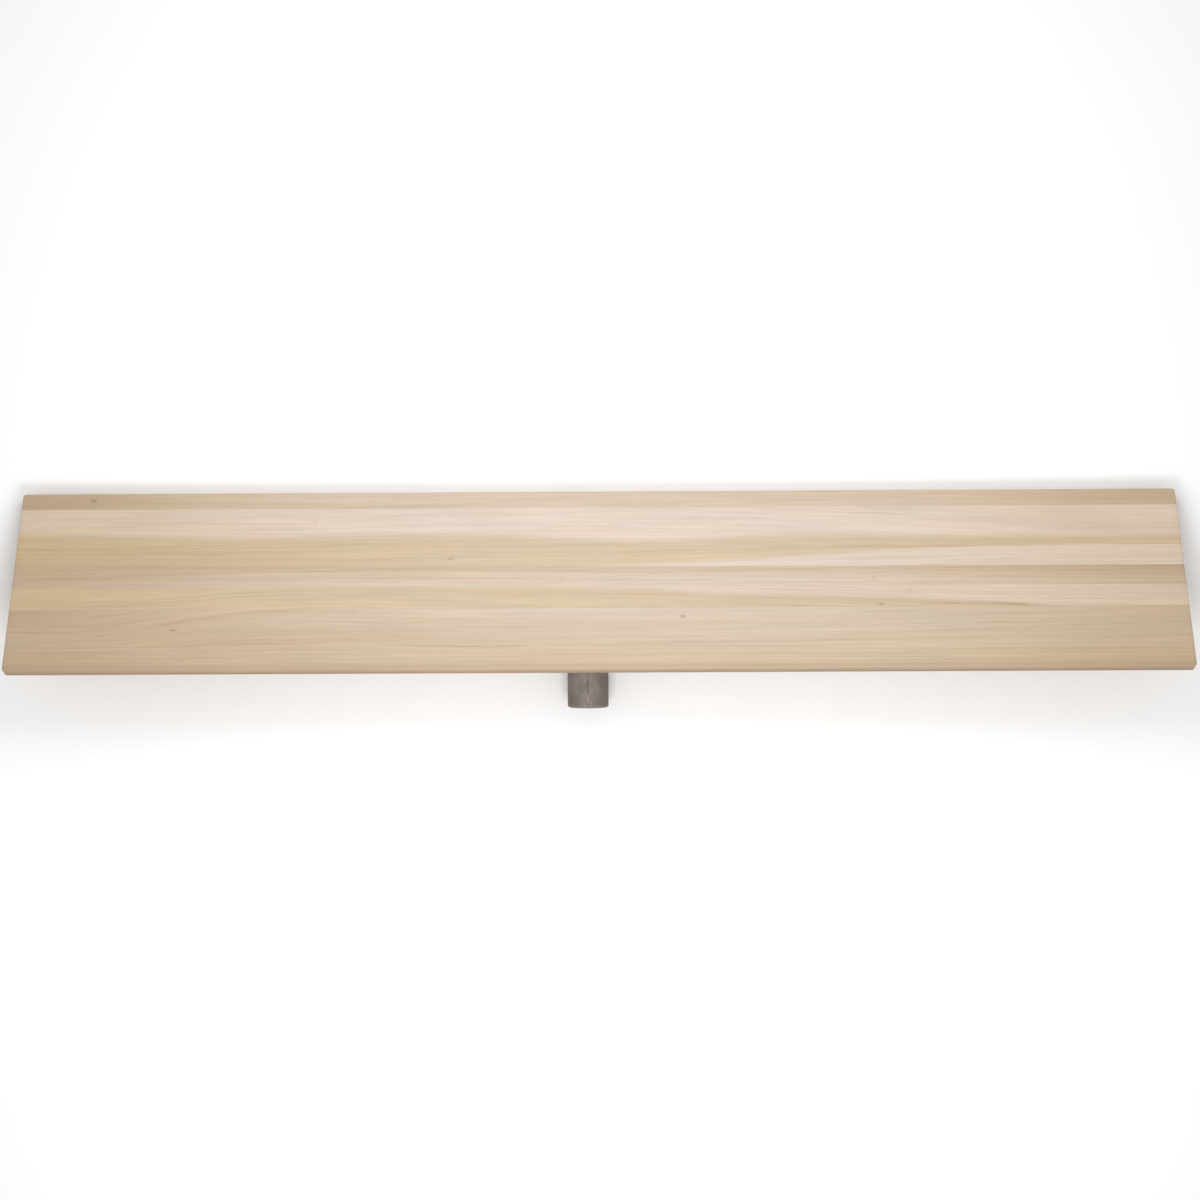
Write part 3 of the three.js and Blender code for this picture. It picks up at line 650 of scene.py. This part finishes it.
def zinc_steel():
    """Zinc-plated steel: a soft bright skin with cloudy spangle and faint handling scratches."""
    s = Shader("zinc_plated_steel", roughness=0.34, metallic=1.0, specular=0.5)
    place = s.row_position()
    cloud = s.noise(place, scale=320, detail=4, roughness=0.6)
    spangle = s.axes(s.node("ShaderNodeTexVoronoi", {"Vector": place, "Scale": 700.0}, output="Color"))[0]
    scratch = s.noise(s.node("ShaderNodeMapping", {"Vector": place, "Scale": (3000, 200, 900)}), detail=2)
    colour = s.mix(s.step(cloud, 0.3, 0.7), seen(176, 176, 172), seen(205, 205, 200))
    tone = s.scaled(spangle, 0, 1, 0.9, 1.06)
    colour = s.mix(1.0, colour, s.combine(tone, tone, tone), "MULTIPLY")
    colour = s.mix(s.step(scratch, 0.62, 0.8, 0, 0.35), colour, seen(140, 138, 130))
    roughness = s.scaled(cloud, 0.3, 0.7, 0.28, 0.46)
    return s.finish(colour, roughness, s.add(cloud, scratch), 0.02 * MM)


# --- mesh writing -------------------------------------------------------------------------------


def sharpened(bm, degrees):
    """Smooth shading that breaks at edges sharper than this."""
    bm.normal_update()
    limit = math.radians(degrees)
    for face in bm.faces:
        face.smooth = True
    for edge in bm.edges:
        edge.smooth = len(edge.link_faces) == 2 and edge.calc_face_angle(0) < limit


def mesh_of(name, bm, matrix=Matrix()):
    """A mesh made from a bmesh, which is freed."""
    mesh = bpy.data.meshes.new(name)
    bm.to_mesh(mesh)
    bm.free()
    mesh.transform(matrix)
    return mesh


def linked(name, data):
    """A new object in the scene."""
    piece = bpy.data.objects.new(name, data)
    bpy.context.scene.collection.objects.link(piece)
    return piece


def modified(piece):
    """The mesh that an object's modifiers make."""
    bpy.context.view_layer.update()
    result = piece.evaluated_get(bpy.context.evaluated_depsgraph_get())
    return bpy.data.meshes.new_from_object(result)


def finished(name, bm, matrix, body, material, nodes, degrees=32):
    """Turns a bmesh made in a local frame into a piece that rides on a body."""
    bmesh.ops.recalc_face_normals(bm, faces=bm.faces)
    sharpened(bm, degrees)
    return placed(name, mesh_of(name, bm, matrix), body, material, nodes)


def placed(name, mesh, body, material, nodes):
    piece = linked(name, mesh)
    mesh.materials.clear()
    mesh.materials.append(material)
    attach(piece, body)
    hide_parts(*nodes)
    return piece


def grid_rows(bm, rows, closed):
    """Skins rows of points, each a closed ring, and caps or joins the first and last."""
    rings = [[bm.verts.new(point) for point in row] for row in rows]
    count = len(rings[0])
    pairs = list(zip(rings, rings[1:]))
    if closed:
        pairs.append((rings[-1], rings[0]))
    for lower, upper in pairs:
        for i in range(count):
            j = (i + 1) % count
            bm.faces.new((lower[i], lower[j], upper[j], upper[i]))
    if not closed:
        bm.faces.new(list(reversed(rings[0])))
        bm.faces.new(rings[-1])


def turned_row(position, radius, steps):
    """A ring round the X axis; radius is a number or a function of the angle."""
    row = []
    for i in range(steps):
        angle = 2 * math.pi * i / steps
        r = radius(angle) if callable(radius) else radius
        row.append(Vector((position, r * math.cos(angle), r * math.sin(angle))))
    return row


def hexagonal(flats, limit):
    """Radius of a hexagon across its flats, turned off to a limit at its corners."""
    def radius(angle):
        turn = (angle + math.pi / 6) % (math.pi / 3) - math.pi / 6
        return min(flats / 2 / math.cos(turn), limit)
    return radius


def threaded(core, depth, pitch, position):
    """Radius of a right-hand thread's round-topped ridge at one place along the axis."""
    def radius(angle):
        phase = (position / pitch - angle / (2 * math.pi)) % 1
        ridge = max(0.0, 1 - abs(phase - 0.5) / 0.42)
        return core + depth * min(1.0, ridge * 1.15)
    return radius


def spread(start, end, count):
    return [start + (end - start) * i / (count - 1) for i in range(count)]


# --- blade --------------------------------------------------------------------------------------


def plan_outline(low, high, rounded):
    """A stave's outline from above. rounded is +1 or -1 for a stave with the blade's corners, or 0."""
    if not rounded:
        return [(low.x, low.y), (high.x, low.y), (high.x, high.y), (low.x, high.y)]
    steps = 8
    outer = high.y if rounded > 0 else low.y
    inner = low.y if rounded > 0 else high.y
    points = [(high.x, inner)]
    for i in range(steps + 1):
        angle = math.pi / 2 * i / steps
        points.append((high.x - CORNER_RADIUS * (1 - math.cos(angle)),
                       outer - rounded * CORNER_RADIUS * (1 - math.sin(angle))))
    points += [(-x, y) for x, y in reversed(points)]
    return points


def stave(index):
    """One poplar stave, flush with its neighbours, its outside arrises eased and its back bevelled."""
    name = STAVES[index]
    low, high = (corner.copy() for corner in STAVE_BOXES[index])
    rounded = {0: 1, len(STAVES) - 1: -1}.get(index, 0)
    low.y -= 0 if rounded < 0 else GLUE_GAP / 2
    high.y += 0 if rounded > 0 else GLUE_GAP / 2
    bm = bmesh.new()
    base = [bm.verts.new((x, y, low.z)) for x, y in plan_outline(low, high, rounded)]
    face = bm.faces.new(base)
    lifted = bmesh.ops.extrude_face_region(bm, geom=[face])["geom"]
    for vertex in (v for v in lifted if isinstance(v, bmesh.types.BMVert)):
        vertex.co.z = high.z
    bmesh.ops.recalc_face_normals(bm, faces=bm.faces)
    if rounded:
        bevel_back(bm, rounded)
    glued = [y for y in (low.y, high.y) if abs(abs(y) - BLADE_HALF_WIDTH) > EDGE_EASE]
    bm.normal_update()
    eased = [e for e in bm.edges if is_arris(e, glued)]
    bmesh.ops.bevel(bm, geom=eased, offset=EDGE_EASE, segments=4, profile=0.5, affect="EDGES")
    for x in spread(low.x + 2 * CORNER_RADIUS, high.x - 2 * CORNER_RADIUS, CROSS_CUTS):
        geometry = bm.verts[:] + bm.edges[:] + bm.faces[:]
        bmesh.ops.bisect_plane(bm, geom=geometry, plane_co=(x, 0, 0), plane_no=(1, 0, 0))
    return finished(name + "_wood", bm, BLADE, "blade", Poplar(name).build(), [name])


def bevel_back(bm, side):
    """Planes off the long back edge on the blade's outside."""
    edge = Vector((0, side * (BLADE_HALF_WIDTH - BACK_BEVEL), -BLADE_THICKNESS))
    normal = Vector((0, side, -1)).normalized()
    geometry = bm.verts[:] + bm.edges[:] + bm.faces[:]
    cut = bmesh.ops.bisect_plane(bm, geom=geometry, plane_co=edge, plane_no=normal, clear_outer=True)
    rim = [e for e in cut["geom_cut"] if isinstance(e, bmesh.types.BMEdge)]
    bmesh.ops.holes_fill(bm, edges=rim)
    bmesh.ops.recalc_face_normals(bm, faces=bm.faces)


def is_arris(edge, glued):
    """True for a sharp edge that isn't on a glue line."""
    if len(edge.link_faces) != 2 or edge.calc_face_angle(0) < math.radians(30):
        return False
    ends = [v.co.y for v in edge.verts]
    return not any(all(abs(y - line) < 1e-6 for y in ends) for line in glued)


# --- castings -----------------------------------------------------------------------------------


def add_block(bm, corners_low, corners_high):
    """A closed box added to a mesh that a remesh will fuse."""
    low, high = Vector(corners_low), Vector(corners_high)
    made = bmesh.ops.create_cube(bm, size=1.0)["verts"]
    for vertex in made:
        vertex.co = Vector(
            (low[i] + (high[i] - low[i]) * (vertex.co[i] + 0.5)) for i in range(3)
        )


def add_helix(bm, radius, pitch, depth, start, end):
    """An inward thread ridge on a bore along Y."""
    steps = 40
    turns = (end - start) / pitch
    count = int(turns * steps)
    half = pitch * 0.27
    root = radius + 0.6 * MM
    rows = []
    for i in range(count + 1):
        angle = 2 * math.pi * i / steps
        y = start + pitch * i / steps
        fade = min(1.0, i / steps, (count - i) / steps)
        out = Vector((math.sin(angle), 0, math.cos(angle)))
        crest = radius - depth * max(fade, 0.05)
        profile = [(root, -half), (root, half), (crest, half * 0.35), (crest, -half * 0.35)]
        rows.append([out * r + Vector((0, y + dy, 0)) for r, dy in profile])
    grid_rows(bm, rows, closed=False)


def fused(name, bm, matrix, voxel, smoothing):
    """Fuses overlapping closed shells into one skin with soft casting fillets, in the row frame."""
    rough = linked(name + "_rough", mesh_of(name, bm, matrix))
    remesh = rough.modifiers.new("skin", "REMESH")
    remesh.mode = "VOXEL"
    remesh.voxel_size = voxel
    remesh.use_smooth_shade = True
    soften = rough.modifiers.new("fillets", "SMOOTH")
    soften.factor = 0.5
    soften.iterations = smoothing
    result = modified(rough)
    bpy.data.objects.remove(rough)
    result.name = name
    return result


def cad_bmesh(node, matrix):
    """A copy of a CAD node's mesh in another frame."""
    bm = bmesh.new()
    bm.from_mesh(frame["nodes"][node].data)
    bmesh.ops.remove_doubles(bm, verts=bm.verts, dist=1e-6)
    bm.transform(matrix.inverted())
    return bm


def handle_socket():
    """The socket casting: a seam in its parting plane and a coarse thread in its bore."""
    bm = cad_bmesh("handle_socket", SOCKET)
    for side, short in ((-1, UPPER_SEAM_END), (1, LOWER_SEAM_END)):
        inner, outer = sorted((side * (SOCKET_RADIUS - MM), side * (SOCKET_RADIUS + SEAM_HEIGHT)))
        add_block(bm, (-SEAM_WIDTH / 2, SEAM_START, inner), (SEAM_WIDTH / 2, SOCKET_MOUTH - short, outer))
    thread_start = SOCKET_MOUTH - BORE_DEPTH + 2 * MM
    add_helix(bm, BORE_RADIUS, BORE_THREAD_PITCH, BORE_THREAD_DEPTH, thread_start, SOCKET_MOUTH - 3 * MM)
    mesh = fused("handle_socket_casting", bm, SOCKET, SOCKET_VOXEL, SOCKET_SMOOTHING)
    material = cast_iron("socket_cast_iron", SOCKET, seam=True)
    return placed("handle_socket_casting", mesh, "socket", material, ["handle_socket"])


def ground_between_ears(mesh):
    """Takes the fillets off the plate between the ears, where the lug's heel lands."""
    inverse = BRACKET.inverted()
    for vertex in mesh.vertices:
        place = inverse @ vertex.co
        inside = abs(place.x) < EAR_GAP / 2 and EAR_FOOT[0] < place.y < EAR_FOOT[1]
        if inside and abs(place.z - PLATE_TOP) < EAR_FILLET:
            place.z = PLATE_TOP - HEEL_ROOM
            vertex.co = BRACKET @ place


def bracket_base():
    """The base casting: its ribs, pads and ears run into the plate with cast fillets."""
    bm = cad_bmesh("bracket_base", BRACKET)
    mesh = fused("bracket_base_casting", bm, BRACKET, BASE_VOXEL, BASE_SMOOTHING)
    ground_between_ears(mesh)
    material = cast_iron("bracket_cast_iron", BRACKET)
    return placed("bracket_base_casting", mesh, "blade", material, ["bracket_base"])


# --- fasteners ----------------------------------------------------------------------------------


def pivot_frame():
    """At the pivot, X along the bolt, turned with the bracket."""
    rotation = BRACKET.to_3x3().to_4x4()
    return Matrix.Translation(PIVOT) @ rotation


def on_bolt(node, rows, closed, material, degrees=32):
    """A plated piece on the bolt's axis, skinned from its rows."""
    bm = bmesh.new()
    grid_rows(bm, rows, closed)
    return finished(node + "_steel", bm, pivot_frame(), "blade", material, [node], degrees)


def chamfered_hexagon(face, inward):
    """Rows from a hexagon's end face to its full corners; inward is the side that the metal is on."""
    rows = [turned_row(face, HEX_FLATS / 2 - 0.7 * MM, HEX_STEPS)]
    lowest = HEX_FLATS / 2 - 0.4 * MM
    for share in (0.0, 0.5, 1.0):
        limit = lowest + (HEX_CORNER - lowest) * share
        place = face + inward * (0.1 + 0.9 * share) * MM
        rows.append(turned_row(place, hexagonal(HEX_FLATS, limit), HEX_STEPS))
    return rows


def pivot_bolt(material):
    """A hexagon bolt: forged head, plain shank and rolled thread at the nut."""
    low, high = local_box("pivot_bolt", pivot_frame())
    head_high = low.x + BOLT_HEAD_HEIGHT
    rows = [turned_row(low.x, HEX_FLATS / 2 - 2.2 * MM, HEX_STEPS)]
    rows += chamfered_hexagon(low.x, 1)
    rows.append(turned_row(head_high - 0.5 * MM, hexagonal(HEX_FLATS, HEX_CORNER), HEX_STEPS))
    rows.append(turned_row(head_high - 0.1 * MM, hexagonal(HEX_FLATS - 0.5 * MM, HEX_CORNER), HEX_STEPS))
    rows.append(turned_row(head_high, HEX_FLATS / 2 - 0.9 * MM, HEX_STEPS))
    rows.append(turned_row(head_high, BOLT_RADIUS + 0.5 * MM, HEX_STEPS))
    rows.append(turned_row(head_high + 0.5 * MM, BOLT_RADIUS, HEX_STEPS))
    thread_start = high.x - BOLT_THREAD_LENGTH
    rows.append(turned_row(thread_start - 0.6 * MM, BOLT_RADIUS, HEX_STEPS))
    core = BOLT_RADIUS - BOLT_THREAD_DEPTH
    for x in spread(thread_start, high.x - 1.2 * MM, 120):
        rows.append(turned_row(x, threaded(core, BOLT_THREAD_DEPTH, BOLT_PITCH, x), HEX_STEPS))
    rows.append(turned_row(high.x - 0.3 * MM, core - 0.1 * MM, HEX_STEPS))
    rows.append(turned_row(high.x, core - 0.5 * MM, HEX_STEPS))
    return on_bolt("pivot_bolt", rows, False, material)


def pivot_nut(material):
    """A hexagon nut with both faces chamfered and a thread running through it."""
    low, high = local_box("pivot_nut", pivot_frame())
    rows = chamfered_hexagon(low.x, 1) + chamfered_hexagon(high.x, -1)[::-1]
    bore = BOLT_RADIUS + 0.15 * MM
    depth = BOLT_THREAD_DEPTH * 0.8
    rows.append(turned_row(high.x, bore + 0.6 * MM, HEX_STEPS))
    for x in spread(high.x - 0.7 * MM, low.x + 0.7 * MM, 56):
        rows.append(turned_row(x, threaded(bore - depth, depth, BOLT_PITCH, x), HEX_STEPS))
    rows.append(turned_row(low.x, bore + 0.6 * MM, HEX_STEPS))
    return on_bolt("pivot_nut", rows, True, material)


def flat_washer(node, material):
    """A punched washer: rolled over on one rim, with a slight burr on the other."""
    low, high = local_box(node, pivot_frame())
    outer = (high.y - low.y) / 2
    bore = BOLT_RADIUS + 0.4 * MM
    soft = 0.35 * MM
    outline = [(low.x, bore + soft), (low.x, outer - soft), (low.x + soft * 0.3, outer - soft * 0.3),
               (low.x + soft, outer), (high.x - soft * 0.4, outer), (high.x, outer - soft * 0.5),
               (high.x, bore + soft), (high.x - soft, bore), (low.x + soft, bore)]
    rows = [turned_row(x, r, 72) for x, r in outline]
    return on_bolt(node, rows, True, material, degrees=50)


def lock_washer(material):
    """A split spring washer: a square wire wound one turn, its ends stepped apart."""
    low, high = local_box("lock_washer", pivot_frame())
    outer = (high.y - low.y) / 2
    bore = BOLT_RADIUS + 0.4 * MM
    middle = (low.x + high.x) / 2
    half = (high.x - low.x) / 2 - 0.25 * MM
    soft = 0.3 * MM
    rows = []
    steps = 90
    split = math.radians(8)
    for i in range(steps + 1):
        share = i / steps
        angle = split + (2 * math.pi - 2 * split) * share
        lift = 0.5 * MM * (share - 0.5)
        out = Vector((0, math.cos(angle), math.sin(angle)))
        section = [(bore + soft, -half), (outer - soft, -half), (outer, -half + soft), (outer, half - soft),
                   (outer - soft, half), (bore + soft, half), (bore, half - soft), (bore, -half + soft)]
        rows.append([out * r + Vector((middle + lift + x, 0, 0)) for r, x in section])
    return on_bolt("lock_washer", rows, False, material)


def wood_screw(node, material):
    """A pan-head wood screw with a cross recess and a coarse thread."""
    steps = 48
    low, high = local_box(node, BRACKET)
    centre = (low + high) / 2
    head_radius = (high.x - low.x) / 2
    seat = high.z - SCREW_HEAD_HEIGHT
    core = SCREW_RADIUS - SCREW_THREAD_DEPTH
    tip = low.z
    rows = [turned_row(tip, 0.05 * MM, steps)]
    for z in spread(tip + 0.3 * MM, tip + 12.5 * MM, 70):
        taper = min(1.0, (z - tip) / (4 * MM))
        ridge = threaded(core * taper, SCREW_THREAD_DEPTH * taper, SCREW_PITCH, z)
        rows.append(turned_row(z, ridge, steps))
    rows.append(turned_row(tip + 13.2 * MM, core + 0.2 * MM, steps))
    rows.append(turned_row(seat - 0.4 * MM, core + 0.3 * MM, steps))
    rows.append(turned_row(seat, head_radius - 0.5 * MM, steps))
    rows.append(turned_row(seat + 0.15 * MM, head_radius - 0.1 * MM, steps))
    rows.append(turned_row(seat + 0.5 * MM, head_radius, steps))
    crown = high.z - seat - 1.2 * MM
    for i in range(1, 9):
        angle = math.pi / 2 * i / 9
        radius = head_radius * (0.38 + 0.62 * math.cos(angle))
        rows.append(turned_row(seat + 1.2 * MM + crown * math.sin(angle), radius, steps))
    bm = bmesh.new()
    grid_rows(bm, rows, closed=False)
    bm.transform(Matrix.Rotation(-math.pi / 2, 4, "Y"))
    piece = finished(node + "_steel", bm, BRACKET @ Matrix.Translation((centre.x, centre.y, 0)), "blade",
                     material, [node])
    turn = math.radians(37 * int(node.rsplit("_", 1)[1]))
    crown_top = BRACKET @ Matrix.Translation((centre.x, centre.y, high.z))
    cut_recess(piece, crown_top @ Matrix.Rotation(turn, 4, "Z"))
    return piece


def cut_recess(piece, matrix):
    """Presses a tapered cross into a screw's head."""
    bm = bmesh.new()
    for turn in (0, math.pi / 2):
        rotation = Matrix.Rotation(turn, 4, "Z")
        top, bottom = (2.9 * MM, 0.62 * MM), (1.0 * MM, 0.42 * MM)
        rows = []
        for (length, width), z in ((bottom, -1.9 * MM), (top, 0.6 * MM)):
            corners = [(-length, -width), (length, -width), (length, width), (-length, width)]
            rows.append([rotation @ Vector((x, y, z)) for x, y in corners])
        grid_rows(bm, rows, closed=False)
    bmesh.ops.recalc_face_normals(bm, faces=bm.faces)
    cutter = linked("recess", mesh_of("recess", bm, matrix))
    press = piece.modifiers.new("recess", "BOOLEAN")
    press.operation = "DIFFERENCE"
    press.solver = "EXACT"
    press.use_self = True
    press.object = cutter
    pressed = modified(piece)
    piece.modifiers.clear()
    piece.data = pressed
    bpy.data.objects.remove(cutter)


# --- studio -------------------------------------------------------------------------------------


def floor():
    """A plain pale floor, very slightly mottled, wide enough that its rim is the horizon."""
    bm = bmesh.new()
    bmesh.ops.create_circle(bm, cap_ends=True, segments=128, radius=FLOOR_RADIUS)
    mesh = mesh_of("floor", bm)
    piece = linked("floor", mesh)
    s = Shader("floor_paper", roughness=0.9, specular=0.1)
    mottle = s.noise(s.row_position(), scale=3.0, detail=3)
    mesh.materials.append(s.finish(s.mix(mottle, (0.95, 0.95, 0.95, 1), (0.97, 0.97, 0.97, 1))))


def soft_light(name, place, aim, size, power):
    data = bpy.data.lights.new(name, "AREA")
    data.shape = "RECTANGLE"
    data.size, data.size_y = size
    data.energy = power
    light = linked(name, data)
    light.location = place
    light.rotation_euler = (Vector(aim) - Vector(place)).to_track_quat("-Z", "Y").to_euler()


def studio():
    """A bright overcast room, with two soft lights low over the blade, so that it dims to its ends."""
    world = bpy.data.worlds.new("studio")
    world.use_nodes = True
    background = world.node_tree.nodes["Background"]
    background.inputs["Color"].default_value = (1.0, 1.0, 1.0, 1)
    background.inputs["Strength"].default_value = ROOM_STRENGTH
    bpy.context.scene.world = world
    soft_light("far_light", (0, 0.6, LIGHT_HEIGHT), (0, 0, 0), (0.5, 0.4), 3.5)
    soft_light("near_light", (0, -0.62, LIGHT_HEIGHT), (0, 0, 0), (0.6, 0.4), 5.2)
    bpy.context.scene.view_settings.view_transform = "Standard"
    bpy.context.scene.view_settings.look = "None"


def camera():
    data = bpy.data.cameras.new("camera")
    data.lens = CAMERA_LENS
    data.sensor_width = 36
    data.clip_start, data.clip_end = 0.05, 100
    piece = linked("camera", data)
    aim = BLADE @ Vector((*CAMERA_AIM, 0))
    level = math.cos(CAMERA_TILT) * math.cos(CAMERA_SWING)
    back = BLADE.to_3x3() @ Vector((math.sin(CAMERA_SWING), -math.sin(CAMERA_TILT), level)).normalized()
    up = BLADE.to_3x3() @ Vector((-math.sin(CAMERA_ROLL), math.cos(CAMERA_TILT), math.sin(CAMERA_TILT)))
    right = up.cross(back).normalized()
    axes = Matrix((right, back.cross(right), back)).transposed().to_4x4()
    piece.matrix_world = Matrix.Translation(aim + back * CAMERA_DISTANCE) @ axes
    bpy.context.scene.camera = piece


# --- assembly -----------------------------------------------------------------------------------

camera()
studio()
floor()
for number in range(len(STAVES)):
    stave(number)
bracket_base()
handle_socket()
plated = zinc_steel()
pivot_bolt(plated)
pivot_nut(plated)
flat_washer("head_washer", plated)
flat_washer("nut_washer", plated)
lock_washer(plated)
for number in range(8):
    wood_screw("wood_screw_%d" % (number + 1), plated)
